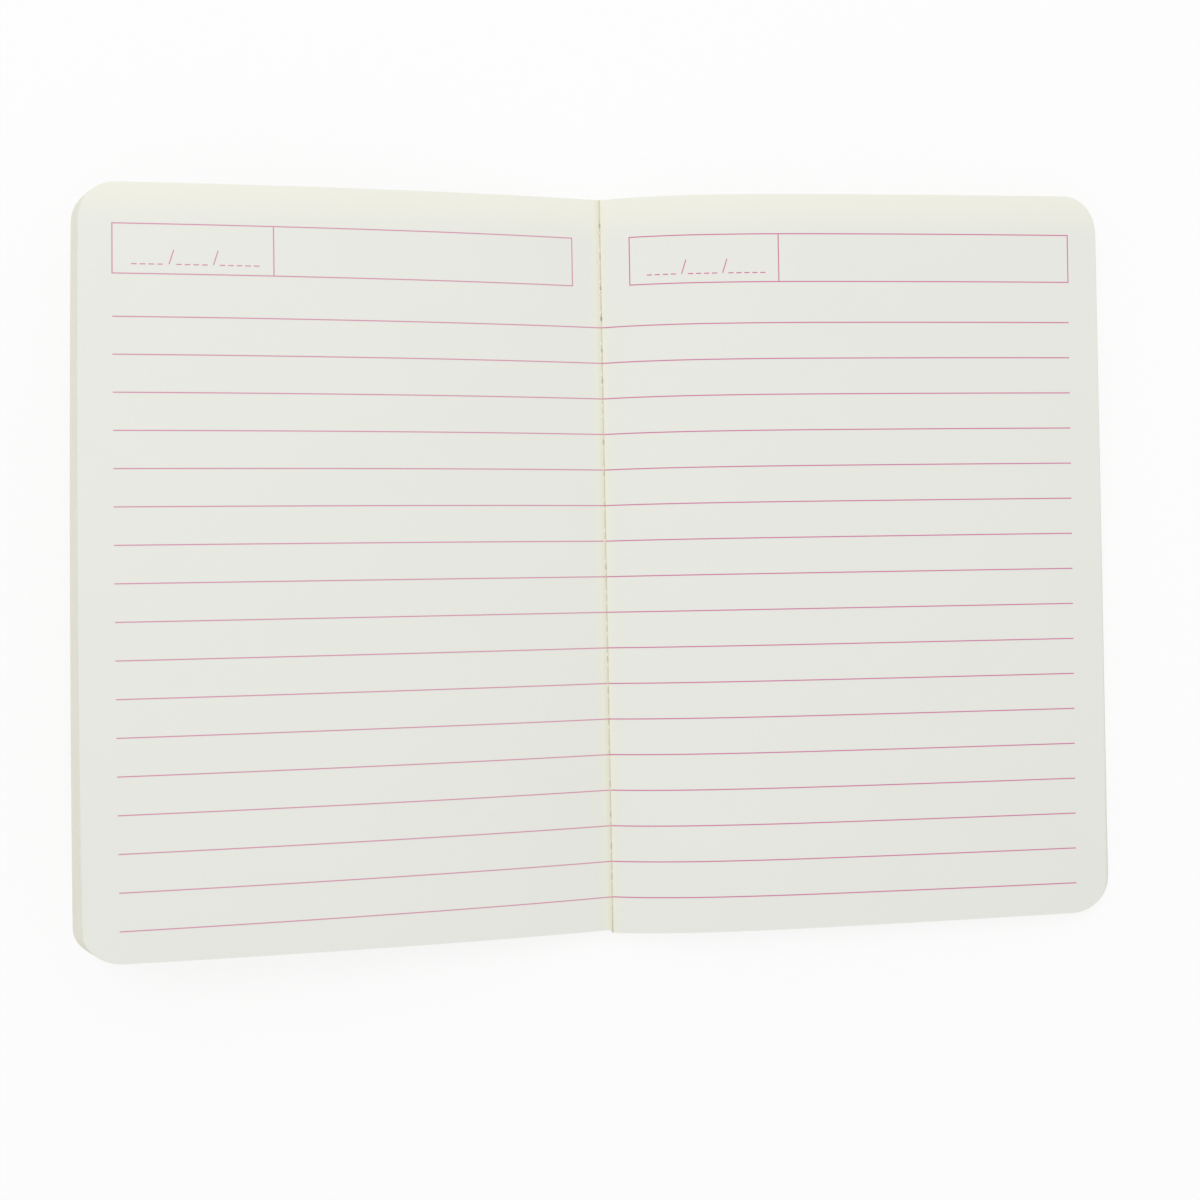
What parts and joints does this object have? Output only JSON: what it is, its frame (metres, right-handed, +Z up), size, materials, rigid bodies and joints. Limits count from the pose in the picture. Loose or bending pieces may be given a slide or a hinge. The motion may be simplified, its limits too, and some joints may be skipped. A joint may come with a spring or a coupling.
{
  "type": "sewn exercise book",
  "caption": "Small soft-cover exercise book lying open: ruled leaves with rounded corners, folded once, sewn through the fold into a card cover.",
  "frame": {"origin": "on the table under the gutter, halfway up the page", "axes": "+X across the open spread to the right page, +Y up the page, +Z up from the table"},
  "size_m": [0.2015, 0.1436, 0.0217],
  "materials": {
    "paper": "matt, cream, pink ruling",
    "cover_card": "matt uncoated card",
    "thread": "twisted cream thread"
  },
  "bodies": {
    "right_block": {"right_leaf_02": "paper", "right_leaf_03": "paper", "right_leaf_04": "paper", "right_leaf_05": "paper", "right_leaf_06": "paper", "right_leaf_07": "paper", "right_leaf_08": "paper", "right_leaf_09": "paper", "right_leaf_10": "paper", "right_leaf_11": "paper", "right_leaf_12": "paper", "right_leaf_13": "paper", "right_leaf_14": "paper", "right_leaf_15": "paper", "right_leaf_16": "paper", "right_leaf_17": "paper", "right_leaf_18": "paper", "right_leaf_19": "paper", "right_leaf_20": "paper", "cover_crease": "cover_card", "inner_thread": "thread", "outer_thread": "thread"},
    "right_leaf": {"right_leaf_01": "paper"},
    "back_cover": {"back_cover": "cover_card"},
    "left_block": {"left_leaf_02": "paper", "left_leaf_03": "paper", "left_leaf_04": "paper", "left_leaf_05": "paper", "left_leaf_06": "paper", "left_leaf_07": "paper", "left_leaf_08": "paper", "left_leaf_09": "paper", "left_leaf_10": "paper", "left_leaf_11": "paper", "left_leaf_12": "paper", "left_leaf_13": "paper", "left_leaf_14": "paper", "left_leaf_15": "paper", "left_leaf_16": "paper", "left_leaf_17": "paper", "left_leaf_18": "paper", "left_leaf_19": "paper", "left_leaf_20": "paper"},
    "left_leaf": {"left_leaf_01": "paper"},
    "front_cover": {"front_cover": "cover_card"}
  },
  "joints": [
    {"name": "left_block_turn", "type": "hinge", "parent": "right_block", "child": "left_block", "pos_m": [0, 0, 0.0052], "axis": [0, 1, 0], "range_deg": [0, 161]},
    {"name": "left_leaf_turn", "type": "hinge", "parent": "left_block", "child": "left_leaf", "pos_m": [0, 0, 0.0052], "axis": [0, -1, 0], "range_deg": [-161, 0]},
    {"name": "right_leaf_turn", "type": "hinge", "parent": "right_block", "child": "right_leaf", "pos_m": [0, 0, 0.0052], "axis": [0, 1, 0], "range_deg": [-161, 0]},
    {"name": "front_cover_swing", "type": "hinge", "parent": "left_block", "child": "front_cover", "pos_m": [-0.0011, 0, 0], "axis": [0, -1, 0], "range_deg": [0, 170]},
    {"name": "back_cover_swing", "type": "hinge", "parent": "right_block", "child": "back_cover", "pos_m": [0.0011, 0, 0], "axis": [0, 1, 0], "range_deg": [0, 170]}
  ]
}
